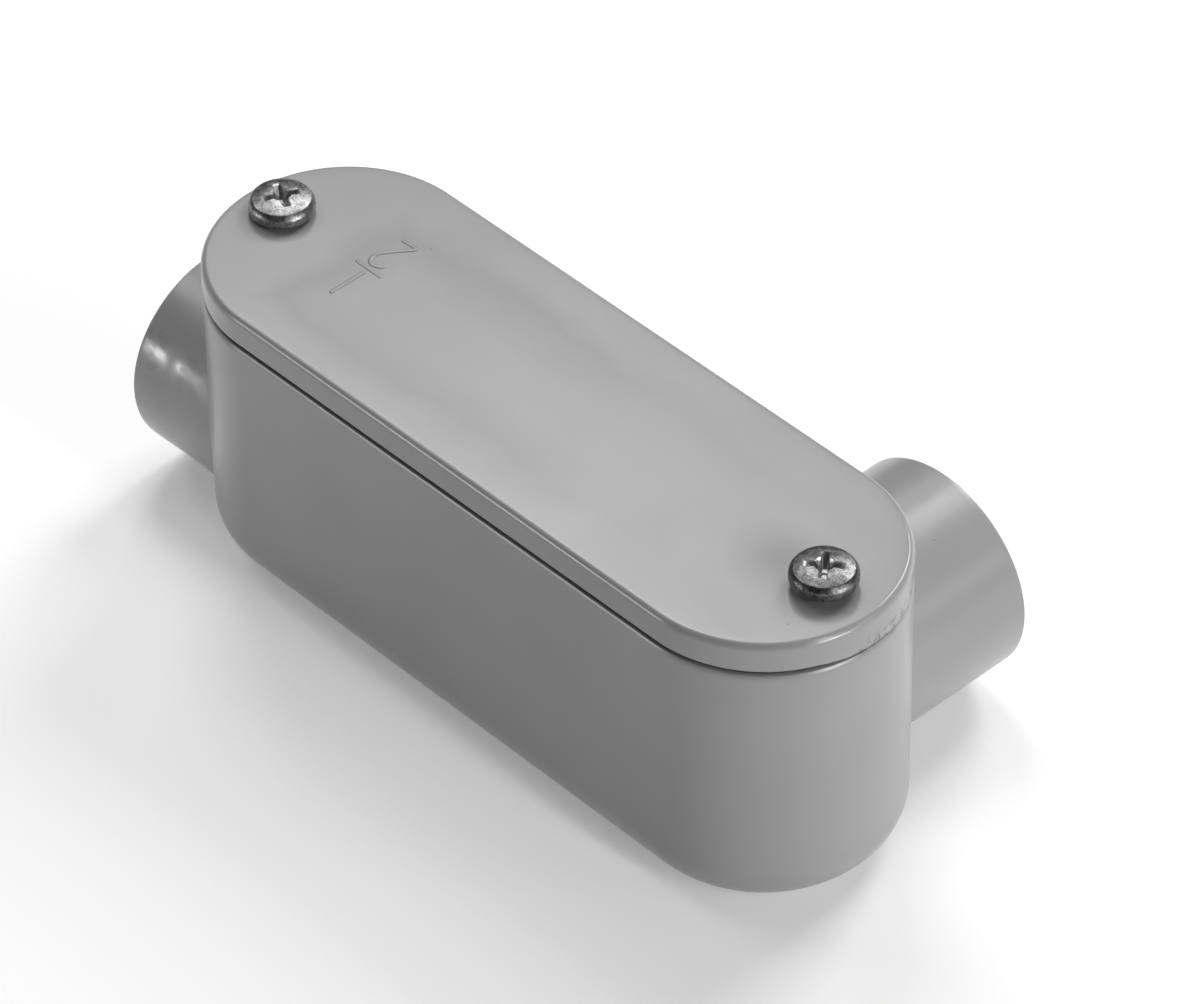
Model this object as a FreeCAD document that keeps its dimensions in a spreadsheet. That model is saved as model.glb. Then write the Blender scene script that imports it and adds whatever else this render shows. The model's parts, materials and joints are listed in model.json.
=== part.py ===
import FreeCAD, Part
import math
import os
import Sketcher

# A moulded conduit body: an open-topped box with round ends, one hub out of its end and one out of
# its side, closed by a flat cover on a soft gasket that two pan-head screws hold down.
# The origin is on the flat underside, midway between the centres of the round ends.
# +X runs away from the end hub, +Y towards the side hub's mouth, +Z up through the cover.
# Lengths are in millimetres and angles in degrees.
DIMENSIONS = {
    # Box
    "body_width": 34.4,
    "end_spacing": 72.1,
    "lip_height": 38.2,
    "wall_thickness": 2.8,
    "floor_thickness": 3.0,
    "base_edge_radius": 6.5,
    "parting_edge_bevel": 0.35,
    # Hubs, their sockets and the throats behind them
    "hub_diameter": 28.1,
    "hub_ground_gap": 0.15,
    "side_hub_inset": 22.85,
    "hub_rim_bevel": 0.4,
    "socket_diameter": 21.6,
    "socket_depth": 17.5,
    "socket_lead_in": 0.6,
    "throat_diameter": 16.2,
    "throat_edge_bevel": 1.0,
    "end_stop_thickness": 2.6,
    "end_stop_inset": 12.45,
    "side_stop_thickness": 3.4,
    # Gasket and cover
    "gasket_thickness": 0.5,
    "gasket_setback": 0.45,
    "gasket_band": 2.9,
    "cover_thickness": 4.1,
    "cover_plate_thickness": 2.2,
    "cover_rim_width": 2.8,
    "cover_edge_radius": 0.9,
    # Screws, and what they pass through
    "end_screw_inset": 6.05,
    "side_screw_inset": 7.55,
    "post_radius": 4.3,
    "pilot_depth": 9.6,
    "thread_diameter": 4.1,
    "thread_clearance": 0.05,
    "cover_hole_clearance": 0.3,
    "screw_length": 12.7,
    "screw_tip_bevel": 0.6,
    "end_screw_rise": 0.45,
    "side_screw_rise": 1.0,
    "head_diameter": 8.2,
    "head_side_height": 1.55,
    "head_dome_height": 0.85,
    "head_edge_bevel": 0.5,
    "recess_span": 4.7,
    "recess_width": 1.0,
    "recess_depth": 1.9,
    "recess_floor_span": 1.9,
    "end_screw_turn": 62.0,
    "side_screw_turn": 44.0,
}

# Places and sizes that several pieces share. An inset is measured in from the end of the box,
# and a hub's mouth lies as far out as its stop and socket take it.
HALF_SPACING = "Sizes.end_spacing / 2"
BODY_RADIUS = "Sizes.body_width / 2"
BODY_END = f"{HALF_SPACING} + {BODY_RADIUS}"
CHAMBER_RADIUS = f"{BODY_RADIUS} - Sizes.wall_thickness"
HUB_RADIUS = "Sizes.hub_diameter / 2"
HUB_HEIGHT = f"{HUB_RADIUS} + Sizes.hub_ground_gap"
END_STOP_DEPTH = "Sizes.socket_depth + Sizes.end_stop_thickness"
END_MOUTH = f"{BODY_END} - Sizes.end_stop_inset + {END_STOP_DEPTH}"
SIDE_STOP_DEPTH = "Sizes.socket_depth + Sizes.side_stop_thickness"
SIDE_MOUTH = f"{CHAMBER_RADIUS} + {SIDE_STOP_DEPTH}"
SIDE_HUB_PLACE = f"{BODY_END} - Sizes.side_hub_inset"
SIDE_SCREW_PLACE = f"{BODY_END} - Sizes.side_screw_inset"
END_SCREW_PLACE = f"Sizes.end_screw_inset - ({BODY_END})"
COVER_UNDERSIDE = "Sizes.lip_height + Sizes.gasket_thickness"
COVER_TOP = f"{COVER_UNDERSIDE} + Sizes.cover_thickness"
COVER_RECESS_DEPTH = "Sizes.cover_thickness - Sizes.cover_plate_thickness"
GASKET_RADIUS = f"{BODY_RADIUS} - Sizes.gasket_setback"
SHANK_RADIUS = "Sizes.thread_diameter / 2"
COVER_HOLE_RADIUS = f"{SHANK_RADIUS} + Sizes.cover_hole_clearance"
HEAD_HEIGHT = "Sizes.head_side_height + Sizes.head_dome_height"
OVERRUN = 1.0  # how far a cut runs on past the face that it opens
NEAR = 0.01  # places closer than this are the same place

doc = FreeCAD.newDocument("ConduitBody")
sheet = doc.addObject("Spreadsheet::Sheet", "Sizes")
for row, (alias, value) in enumerate(DIMENSIONS.items(), start=1):
    sheet.set(f"A{row}", alias)
    sheet.set(f"B{row}", str(value))
    sheet.setAlias(f"B{row}", alias)
doc.recompute()


def value_of(expression):
    return float(sheet.evalExpression(expression))


# Sketches

def point(x, y):
    return FreeCAD.Vector(x, y, 0)


def arc(x, y, radius, start, end):
    circle = Part.Circle(point(x, y), FreeCAD.Vector(0, 0, 1), radius)
    return Part.ArcOfCircle(circle, math.radians(start), math.radians(end))


def new_sketch(body, name, plane, height=None):
    support = next(item for item in body.Origin.OriginFeatures if item.Role == plane)
    sketch = body.newObject("Sketcher::SketchObject", name)
    sketch.AttachmentSupport = [(support, "")]
    sketch.MapMode = "FlatFace"
    if height is not None:
        sketch.setExpression("AttachmentOffset.Base.z", height)
    return sketch


def constrain(sketch, kind, *where):
    sketch.addConstraint(Sketcher.Constraint(kind, *where))


def dimension(sketch, kind, where, expression):
    # A driving dimension of the sketch, tied to the sheet.
    index = sketch.addConstraint(Sketcher.Constraint(kind, *where, value_of(expression)))
    sketch.setExpression(f"Constraints[{index}]", expression)


def fix_point(sketch, geometry, end, x, y):
    # Holds one point of a sketch at x and y, given as expressions from the sketch's origin.
    for kind, axis, expression in (("DistanceX", -2, x), ("DistanceY", -1, y)):
        place = value_of(expression)
        if abs(place) < NEAR:
            constrain(sketch, "PointOnObject", geometry, end, axis)
        elif place > 0:
            dimension(sketch, kind, (-1, 1, geometry, end), expression)
        else:
            dimension(sketch, kind, (geometry, end, -1, 1), f"-({expression})")


def draw_stadium(sketch, radius):
    # The box's outline at some radius: straight sides and round ends, centred on the origin.
    half, r = value_of(HALF_SPACING), value_of(radius)
    right, left, top, bottom = sketch.addGeometry([
        arc(half, 0, r, -90, 90),
        arc(-half, 0, r, 90, 270),
        Part.LineSegment(point(half, r), point(-half, r)),
        Part.LineSegment(point(-half, -r), point(half, -r)),
    ])
    for first, second in ((right, top), (top, left), (left, bottom), (bottom, right)):
        constrain(sketch, "Tangent", first, 2, second, 1)
    constrain(sketch, "Equal", left, right)
    fix_point(sketch, right, 3, HALF_SPACING, "0")
    fix_point(sketch, left, 3, f"-({HALF_SPACING})", "0")
    dimension(sketch, "Radius", (right,), radius)


def draw_circle(sketch, x, y, radius):
    circle = Part.Circle(point(value_of(x), value_of(y)), FreeCAD.Vector(0, 0, 1), value_of(radius))
    index = sketch.addGeometry(circle)
    fix_point(sketch, index, 3, x, y)
    dimension(sketch, "Radius", (index,), radius)


def draw_outline(sketch, corners, arc_after=None):
    # A closed outline through corners given as expressions. The side after corner number
    # arc_after is an arc about a centre on the sketch's vertical axis.
    places = [point(value_of(x), value_of(y)) for x, y in corners]
    sides = []
    for number, start in enumerate(places):
        end = places[(number + 1) % len(places)]
        if number != arc_after:
            sides.append(Part.LineSegment(start, end))
            continue
        rise = end.y - start.y
        radius = (start.x ** 2 + rise ** 2) / (2 * rise)
        centre = end.y - radius
        sides.append(arc(0, centre, radius, math.degrees(math.atan2(start.y - centre, start.x)), 90))
    indices = sketch.addGeometry(sides)
    for number, index in enumerate(indices):
        following = indices[(number + 1) % len(indices)]
        constrain(sketch, "Coincident", index, 2, following, 1)
        fix_point(sketch, index, 1, *corners[number])
        if number == arc_after:
            constrain(sketch, "PointOnObject", index, 3, -2)


def draw_post_tongues(sketch):
    # Round each screw a half-round nose, with straight sides that run out into the end wall.
    for side, place, inset in (
        (1, SIDE_SCREW_PLACE, "Sizes.side_screw_inset"),
        (-1, END_SCREW_PLACE, "Sizes.end_screw_inset"),
    ):
        to_wall = f"{inset} - Sizes.wall_thickness / 2"
        x, r = value_of(place), value_of("Sizes.post_radius")
        end = x + side * value_of(to_wall)
        nose, first, last, second = sketch.addGeometry([
            arc(x, 0, r, 90, 270) if side > 0 else arc(x, 0, r, -90, 90),
            Part.LineSegment(point(x, -side * r), point(end, -side * r)),
            Part.LineSegment(point(end, -side * r), point(end, side * r)),
            Part.LineSegment(point(end, side * r), point(x, side * r)),
        ])
        constrain(sketch, "Tangent", nose, 2, first, 1)
        constrain(sketch, "Coincident", first, 2, last, 1)
        constrain(sketch, "Coincident", last, 2, second, 1)
        constrain(sketch, "Tangent", second, 2, nose, 1)
        constrain(sketch, "Horizontal", first)
        constrain(sketch, "Horizontal", second)
        constrain(sketch, "Vertical", last)
        fix_point(sketch, nose, 3, place, "0")
        outward = (nose, 3, last, 1) if side > 0 else (last, 1, nose, 3)
        dimension(sketch, "DistanceX", outward, to_wall)
        dimension(sketch, "Radius", (nose,), "Sizes.post_radius")


def draw_screw_circles(sketch, radius):
    for place in (SIDE_SCREW_PLACE, END_SCREW_PLACE):
        draw_circle(sketch, place, "0", radius)


# Features

def new_body(name):
    body = doc.addObject("PartDesign::Body", name)
    body.Label = name
    return body


def revolve(body, kind, name, sketch, axis):
    feature = body.newObject(f"PartDesign::{kind}", name)
    feature.Profile = sketch
    feature.ReferenceAxis = (sketch, [axis])
    doc.recompute()


def extrude(body, kind, name, sketch, length, backwards=False, symmetric=False):
    feature = body.newObject(f"PartDesign::{kind}", name)
    feature.Profile = sketch
    feature.Reversed = backwards
    feature.Midplane = symmetric
    feature.setExpression("Length", length)
    doc.recompute()


def dress_edges(body, kind, name, is_wanted, size):
    # Rounds or bevels the edges of the body's last feature that is_wanted picks.
    last = body.Tip
    edges = [f"Edge{number}" for number, edge in enumerate(last.Shape.Edges, start=1) if is_wanted(edge)]
    feature = body.newObject(f"PartDesign::{kind}", name)
    feature.Base = (last, edges)
    feature.setExpression("Radius" if kind == "Fillet" else "Size", size)
    doc.recompute()


def level_with(axis, expression):
    # Picks edges that lie wholly at one place along an axis.
    place = value_of(expression)

    def is_wanted(edge):
        low, high = getattr(edge.BoundBox, axis + "Min"), getattr(edge.BoundBox, axis + "Max")
        return abs(low - place) < NEAR and abs(high - place) < NEAR
    return is_wanted


def round_at(radius, axis, place):
    # Picks circular edges of one radius at one place along an axis.
    is_level, size = level_with(axis, place), value_of(radius)
    return lambda edge: is_level(edge) and isinstance(edge.Curve, Part.Circle) \
        and abs(edge.Curve.Radius - size) < NEAR


# Pieces

def make_wiring_space():
    # The space inside the box, as the mould's lifting core leaves it.
    body = new_body("wiring_space")
    outline = new_sketch(body, "space_outline", "XY_Plane", "Sizes.floor_thickness")
    draw_stadium(outline, CHAMBER_RADIUS)
    depth = f"Sizes.lip_height - Sizes.floor_thickness + {OVERRUN}"
    extrude(body, "Pad", "space", outline, depth)
    dress_edges(body, "Chamfer", "floor_bevel", level_with("Z", "Sizes.floor_thickness"),
                "Sizes.base_edge_radius - Sizes.wall_thickness")

    # The screw posts stand on the floor, so that the core can lift out past them.
    posts = new_sketch(body, "post_outlines", "XY_Plane")
    draw_post_tongues(posts)
    extrude(body, "Pocket", "posts", posts, f"Sizes.lip_height + {2 * OVERRUN}", backwards=True)

    # The end hub's barrel comes in through the end wall and is filled down to the floor.
    stop_face = f"{END_STOP_DEPTH} - ({END_MOUTH})"
    barrel = new_sketch(body, "barrel_circle", "YZ_Plane", stop_face)
    draw_circle(barrel, "0", HUB_HEIGHT, HUB_RADIUS)
    extrude(body, "Pocket", "barrel", barrel, END_STOP_DEPTH)
    foot = new_sketch(body, "barrel_foot_outline", "YZ_Plane", stop_face)
    draw_outline(foot, [
        (f"-({HUB_RADIUS})", "0"),
        (HUB_RADIUS, "0"),
        (HUB_RADIUS, HUB_HEIGHT),
        (f"-({HUB_RADIUS})", HUB_HEIGHT),
    ])
    extrude(body, "Pocket", "barrel_foot", foot, END_STOP_DEPTH)
    return body


def bore_steps(stop_depth):
    # Depth from the mouth and radius at each corner of a hub's bore: a lead-in that starts the
    # conduit, the socket, and a throat whose bevelled ends spare the wires' insulation.
    socket, throat = "Sizes.socket_diameter / 2", "Sizes.throat_diameter / 2"
    bevel, lead_in = "Sizes.throat_edge_bevel", "Sizes.socket_lead_in"
    return [
        (f"-{OVERRUN}", "0"),
        (f"-{OVERRUN}", f"{socket} + {lead_in} + {OVERRUN}"),
        (lead_in, socket),
        ("Sizes.socket_depth", socket),
        ("Sizes.socket_depth", f"{throat} + {bevel}"),
        (f"Sizes.socket_depth + {bevel}", throat),
        (f"{stop_depth} - {bevel}", throat),
        (f"{stop_depth} + {OVERRUN}", f"{throat} + {bevel} + {OVERRUN}"),
        (f"{stop_depth} + {OVERRUN}", "0"),
    ]


def make_conduit_body():
    body = new_body("conduit_body")
    outline = new_sketch(body, "box_outline", "XY_Plane")
    draw_stadium(outline, BODY_RADIUS)
    extrude(body, "Pad", "box", outline, "Sizes.lip_height")
    dress_edges(body, "Fillet", "base_round", level_with("Z", "0"), "Sizes.base_edge_radius")
    dress_edges(body, "Chamfer", "lip_bevel", level_with("Z", "Sizes.lip_height"),
                "Sizes.parting_edge_bevel")

    # The barrels, each with its mouth's place on the plane's normal, its centre across the plane
    # and its length.
    for name, axis, plane, place, across, mouth, length in (
        ("end", "X", "YZ_Plane", f"-({END_MOUTH})", "0", f"-({END_MOUTH})", END_STOP_DEPTH),
        ("side", "Y", "XZ_Plane", f"-({SIDE_MOUTH})", SIDE_HUB_PLACE, SIDE_MOUTH, SIDE_MOUTH),
    ):
        circle = new_sketch(body, f"{name}_hub_circle", plane, place)
        draw_circle(circle, across, HUB_HEIGHT, HUB_RADIUS)
        extrude(body, "Pad", f"{name}_hub", circle, length)
        dress_edges(body, "Chamfer", f"{name}_hub_rim", round_at(HUB_RADIUS, axis, mouth),
                    "Sizes.hub_rim_bevel")

    hollow = body.newObject("PartDesign::Boolean", "hollow")
    hollow.setObjects([make_wiring_space()])
    hollow.Type = "Cut"
    doc.recompute()

    # The bores, turned about the hubs' axes in the level plane that holds both.
    end_bore = new_sketch(body, "end_bore_profile", "XY_Plane", HUB_HEIGHT)
    draw_outline(end_bore, [
        (f"{depth} - ({END_MOUTH})", radius) for depth, radius in bore_steps(END_STOP_DEPTH)])
    revolve(body, "Groove", "end_bore", end_bore, "H_Axis")
    side_bore = new_sketch(body, "side_bore_profile", "XY_Plane", HUB_HEIGHT)
    side_bore.setExpression("AttachmentOffset.Base.x", SIDE_HUB_PLACE)
    draw_outline(side_bore, [
        (radius, f"{SIDE_MOUTH} - ({depth})") for depth, radius in bore_steps(SIDE_STOP_DEPTH)])
    revolve(body, "Groove", "side_bore", side_bore, "V_Axis")

    pilots = new_sketch(body, "pilot_circles", "XY_Plane", "Sizes.lip_height")
    draw_screw_circles(pilots, f"{SHANK_RADIUS} + Sizes.thread_clearance")
    extrude(body, "Pocket", "pilots", pilots, "Sizes.pilot_depth")
    return body


def make_gasket():
    body = new_body("gasket")
    outline = new_sketch(body, "gasket_outline", "XY_Plane")
    draw_stadium(outline, GASKET_RADIUS)
    extrude(body, "Pad", "sheet", outline, "Sizes.gasket_thickness")
    window = new_sketch(body, "window_outline", "XY_Plane")
    draw_stadium(window, f"{GASKET_RADIUS} - Sizes.gasket_band")
    extrude(body, "Pocket", "window", window, f"Sizes.gasket_thickness + {OVERRUN}", backwards=True)
    ears = new_sketch(body, "ear_outlines", "XY_Plane")
    draw_post_tongues(ears)
    extrude(body, "Pad", "ears", ears, "Sizes.gasket_thickness")
    holes = new_sketch(body, "hole_circles", "XY_Plane")
    draw_screw_circles(holes, COVER_HOLE_RADIUS)
    extrude(body, "Pocket", "holes", holes, f"Sizes.gasket_thickness + {OVERRUN}", backwards=True)
    body.setExpression("Placement.Base.z", "Sizes.lip_height")
    return body


def make_cover():
    body = new_body("cover")
    outline = new_sketch(body, "cover_outline", "XY_Plane")
    draw_stadium(outline, BODY_RADIUS)
    extrude(body, "Pad", "slab", outline, "Sizes.cover_thickness")
    dress_edges(body, "Fillet", "top_round", level_with("Z", "Sizes.cover_thickness"),
                "Sizes.cover_edge_radius")
    dress_edges(body, "Chamfer", "rim_bevel", level_with("Z", "0"), "Sizes.parting_edge_bevel")

    # The underside is cored out to an even wall, with a pad left round each screw.
    recess = new_sketch(body, "recess_outline", "XY_Plane")
    draw_stadium(recess, f"{BODY_RADIUS} - Sizes.cover_rim_width")
    extrude(body, "Pocket", "recess", recess, COVER_RECESS_DEPTH, backwards=True)
    pads = new_sketch(body, "pad_outlines", "XY_Plane")
    draw_post_tongues(pads)
    extrude(body, "Pad", "screw_pads", pads, COVER_RECESS_DEPTH)
    holes = new_sketch(body, "hole_circles", "XY_Plane")
    draw_screw_circles(holes, COVER_HOLE_RADIUS)
    extrude(body, "Pocket", "holes", holes, f"Sizes.cover_thickness + {OVERRUN}", backwards=True)
    body.setExpression("Placement.Base.z", COVER_UNDERSIDE)
    return body


def make_cover_screw(name, place, turn, rise):
    # A pan head on a plain shank of the thread's outer diameter, with the head's underside at the
    # body's origin. The screws aren't driven home: each head stands a little above the cover.
    body = new_body(name)
    profile = new_sketch(body, "turned_profile", "XZ_Plane")
    draw_outline(profile, [
        ("0", "-Sizes.screw_length"),
        (f"{SHANK_RADIUS} - Sizes.screw_tip_bevel", "-Sizes.screw_length"),
        (SHANK_RADIUS, "Sizes.screw_tip_bevel - Sizes.screw_length"),
        (SHANK_RADIUS, "0"),
        ("Sizes.head_diameter / 2", "0"),
        ("Sizes.head_diameter / 2", "Sizes.head_side_height"),
        ("Sizes.head_diameter / 2 - Sizes.head_edge_bevel",
         "Sizes.head_side_height + Sizes.head_edge_bevel / 2"),
        ("0", HEAD_HEIGHT),
    ], arc_after=6)
    revolve(body, "Revolution", "turned_blank", profile, "V_Axis")

    # The driver's recess is two crossed slots that narrow towards their floor.
    recess_floor = f"{HEAD_HEIGHT} - Sizes.recess_depth"
    for name_of_slot, plane in (("slot", "XZ_Plane"), ("cross_slot", "YZ_Plane")):
        slot = new_sketch(body, f"{name_of_slot}_outline", plane)
        draw_outline(slot, [
            ("-Sizes.recess_floor_span / 2", recess_floor),
            ("Sizes.recess_floor_span / 2", recess_floor),
            ("Sizes.recess_span / 2", HEAD_HEIGHT),
            ("-Sizes.recess_span / 2", HEAD_HEIGHT),
        ])
        extrude(body, "Pocket", name_of_slot, slot, "Sizes.recess_width", symmetric=True)

    body.Placement.Rotation = FreeCAD.Rotation(FreeCAD.Vector(0, 0, 1), value_of(turn))
    body.setExpression("Placement.Rotation.Angle", f"{turn} * 1 deg")
    body.setExpression("Placement.Base.x", place)
    body.setExpression("Placement.Base.z", f"{COVER_TOP} + {rise}")
    return body


pieces = [
    make_conduit_body(),
    make_gasket(),
    make_cover(),
    make_cover_screw("cover_screw_end", END_SCREW_PLACE, "Sizes.end_screw_turn", "Sizes.end_screw_rise"),
    make_cover_screw("cover_screw_side", SIDE_SCREW_PLACE, "Sizes.side_screw_turn", "Sizes.side_screw_rise"),
]
doc.recompute()

for item in doc.Objects:
    if "Invalid" in item.State or "Error" in item.State:
        raise RuntimeError(f"{item.Label} did not build: {item.State}")
for piece in pieces:
    if piece.Shape.isNull() or not piece.Shape.isValid() or len(piece.Shape.Solids) != 1:
        raise RuntimeError(f"{piece.Label} is not one valid solid")

os.makedirs("parts", exist_ok=True)
for piece in pieces:
    piece.Shape.exportStep(f"parts/{piece.Label}.step")
    box = piece.Shape.BoundBox
    print(f"{piece.Label}: {piece.Shape.Volume:.1f} mm3, "
          f"{box.XLength:.2f} x {box.YLength:.2f} x {box.ZLength:.2f} mm")
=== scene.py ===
import json
import math
import bmesh
import bpy
from mathutils import Matrix, Vector, noise


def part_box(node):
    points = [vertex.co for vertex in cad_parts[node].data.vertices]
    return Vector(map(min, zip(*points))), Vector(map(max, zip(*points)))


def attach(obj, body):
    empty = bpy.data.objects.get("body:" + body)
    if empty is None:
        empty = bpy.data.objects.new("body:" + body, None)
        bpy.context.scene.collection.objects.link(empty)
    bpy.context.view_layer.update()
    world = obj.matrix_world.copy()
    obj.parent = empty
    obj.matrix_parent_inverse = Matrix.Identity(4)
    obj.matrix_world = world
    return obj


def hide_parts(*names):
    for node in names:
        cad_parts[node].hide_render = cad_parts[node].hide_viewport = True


# A grey moulded conduit body with its cover screwed down, on a pale floor.
# Metres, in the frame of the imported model: +X away from the end hub, +Y to the side hub, +Z up.

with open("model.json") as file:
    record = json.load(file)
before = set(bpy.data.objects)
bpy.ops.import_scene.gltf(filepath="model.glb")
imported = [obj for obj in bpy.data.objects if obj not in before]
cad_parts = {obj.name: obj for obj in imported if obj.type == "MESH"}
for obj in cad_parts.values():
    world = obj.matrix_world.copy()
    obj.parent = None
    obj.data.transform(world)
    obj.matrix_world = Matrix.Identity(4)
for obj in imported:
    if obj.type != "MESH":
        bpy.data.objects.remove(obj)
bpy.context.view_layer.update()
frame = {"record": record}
mm = 0.001
past = mm  # how far a cutting solid goes past the surface that it cuts
print("frame loaded")

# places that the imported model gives
bodyLow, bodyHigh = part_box("conduit_body")
coverLow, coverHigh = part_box("cover")
mounts = {mount["name"]: mount for mount in frame["record"]["mounts"]}
outerRadius = (coverHigh.y - coverLow.y) / 2
halfSpacing = coverHigh.x - outerRadius
lipHeight = bodyHigh.z
coverTop = coverHigh.z
hubHeight = mounts["end_hub_socket"]["pos_m"][2]
sideHubPlace = mounts["side_hub_socket"]["pos_m"][0]
socketRadius = mounts["end_hub_socket"]["dims"]["r_mm"] * mm
screws = {
    "end": {"node": "cover_screw_end", "body": "end_screw"},
    "side": {"node": "cover_screw_side", "body": "side_screw"},
}
for screw in screws.values():
    low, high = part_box(screw["node"])
    screw["place"] = (low.x + high.x) / 2
    screw["tip"], screw["top"] = low.z, high.z

# camera: pivot is a point on the object, and the view is shifted off it sideways and upwards
cameraView = {
    "azimuth": 47.267, "elevation": 41.771, "roll": -0.891,
    "pivot": Vector((0, 0, 38.45 * mm)), "shiftRight": 5.916 * mm, "shiftUp": -9.242 * mm,
    "distance": 810 * mm, "lens": 207.05,
}


def placeCamera():
    azimuth, elevation = math.radians(cameraView["azimuth"]), math.radians(cameraView["elevation"])
    roll = math.radians(cameraView["roll"])
    back = Vector((math.sin(azimuth) * math.cos(elevation),
                   -math.cos(azimuth) * math.cos(elevation), math.sin(elevation)))
    right = Vector((math.cos(azimuth), math.sin(azimuth), 0))
    up = back.cross(right)
    right, up = (right * math.cos(roll) + up * math.sin(roll),
                 up * math.cos(roll) - right * math.sin(roll))
    target = cameraView["pivot"] + right * cameraView["shiftRight"] + up * cameraView["shiftUp"]
    camera = bpy.data.objects.new("camera", bpy.data.cameras.new("camera"))
    bpy.context.scene.collection.objects.link(camera)
    camera.data.lens = cameraView["lens"]
    camera.data.sensor_width = 36
    camera.data.clip_start, camera.data.clip_end = 0.05, 20
    axes = Matrix((right, up, back)).transposed()
    place = target + back * cameraView["distance"]
    camera.matrix_world = Matrix.Translation(place) @ axes.to_4x4()
    bpy.context.scene.camera = camera


placeCamera()
print("camera placed")


# mesh helpers: a surface is a list of rings, each a list of the same number of points

# how many steps go round each kind of curve, and along each straight side
smoothness = {
    "endSteps": 96, "straightSteps": 60, "barrelSteps": 192, "boreSteps": 128,
    "holeSteps": 64, "pilotSteps": 48, "headSteps": 96, "coreSteps": 48, "threadSteps": 36,
}


def stadiumRing(radius, height, ripple=None):
    # anticlockwise from the right end's start; ripple gives (outward, upward) for a point
    points = []
    for side, first in ((1, -90), (-1, 90)):
        for step in range(smoothness["endSteps"] + 1):
            angle = math.radians(first + 180 * step / smoothness["endSteps"])
            points.append((side * halfSpacing, Vector((math.cos(angle), math.sin(angle), 0))))
        for step in range(1, smoothness["straightSteps"]):
            along = side * halfSpacing * (1 - 2 * step / smoothness["straightSteps"])
            points.append((along, Vector((0, side, 0))))
    ring = []
    for along, outward in points:
        place = Vector((along, 0, height)) + outward * radius
        if ripple:
            out, rise = ripple(place)
            place += outward * out + Vector((0, 0, rise))
        ring.append(place)
    return ring


def turnedRings(profile, origin, axis, steps):
    # profile: (distance along axis, radius)
    axis = Vector(axis)
    first = axis.orthogonal().normalized()
    second = axis.cross(first)
    turns = [2 * math.pi * step / steps for step in range(steps)]
    return [[Vector(origin) + axis * along + (first * math.cos(t) + second * math.sin(t)) * radius
             for t in turns] for along, radius in profile]


def arcPoints(centre, radius, start, end, steps):
    angles = [math.radians(start + (end - start) * step / steps) for step in range(steps + 1)]
    return [(centre[0] + radius * math.cos(a), centre[1] + radius * math.sin(a)) for a in angles]


def addRings(mesh, rings, capped=True, looped=True):
    made = [[mesh.verts.new(point) for point in ring] for ring in rings]
    count = len(rings[0])
    for lower, upper in zip(made, made[1:]):
        for step in range(count if looped else count - 1):
            following = (step + 1) % count
            mesh.faces.new((lower[step], lower[following], upper[following], upper[step]))
    if capped:
        mesh.faces.new(list(reversed(made[0])))
        mesh.faces.new(made[-1])


def newObject(name, fill):
    mesh = bmesh.new()
    fill(mesh)
    bmesh.ops.recalc_face_normals(mesh, faces=mesh.faces)
    data = bpy.data.meshes.new(name)
    mesh.to_mesh(data)
    mesh.free()
    made = bpy.data.objects.new(name, data)
    bpy.context.scene.collection.objects.link(made)
    return made


def solid(name, rings):
    return newObject(name, lambda mesh: addRings(mesh, rings))


def rod(name, start, axis, length, radius, steps):
    return solid(name, turnedRings([(0, radius), (length, radius)], start, axis, steps))


def applyModifiers(piece):
    graph = bpy.context.evaluated_depsgraph_get()
    data = bpy.data.meshes.new_from_object(piece.evaluated_get(graph), depsgraph=graph)
    piece.modifiers.clear()
    piece.data = data


def combine(piece, operation, *others):
    for other in others:
        boolean = piece.modifiers.new("combine", "BOOLEAN")
        boolean.operation = operation
        boolean.solver = "MANIFOLD"
        boolean.object = other
    applyModifiers(piece)
    for other in others:
        bpy.data.objects.remove(other)


def append(piece, other):
    # joins other's surface to piece's, as one mesh
    mesh = bmesh.new()
    mesh.from_mesh(piece.data)
    mesh.from_mesh(other.data)
    mesh.to_mesh(piece.data)
    mesh.free()
    bpy.data.objects.remove(other)


def smoothSurface(piece, creaseAngle, byArea=True):
    # byArea leans the shading to the large faces, so that the flats stay flat beside a bevel
    piece.data.shade_smooth()
    piece.data.set_sharp_from_angle(angle=math.radians(creaseAngle))
    if byArea:
        weighted = piece.modifiers.new("weighted", "WEIGHTED_NORMAL")
        weighted.keep_sharp = True
        weighted.weight = 80
        applyModifiers(piece)


def dress(piece, body, node, material):
    piece.data.materials.clear()
    piece.data.materials.append(material)
    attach(piece, body)
    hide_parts(node)


# material helpers: colours and roughness from 0 to 1, and textures' scales per metre

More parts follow.
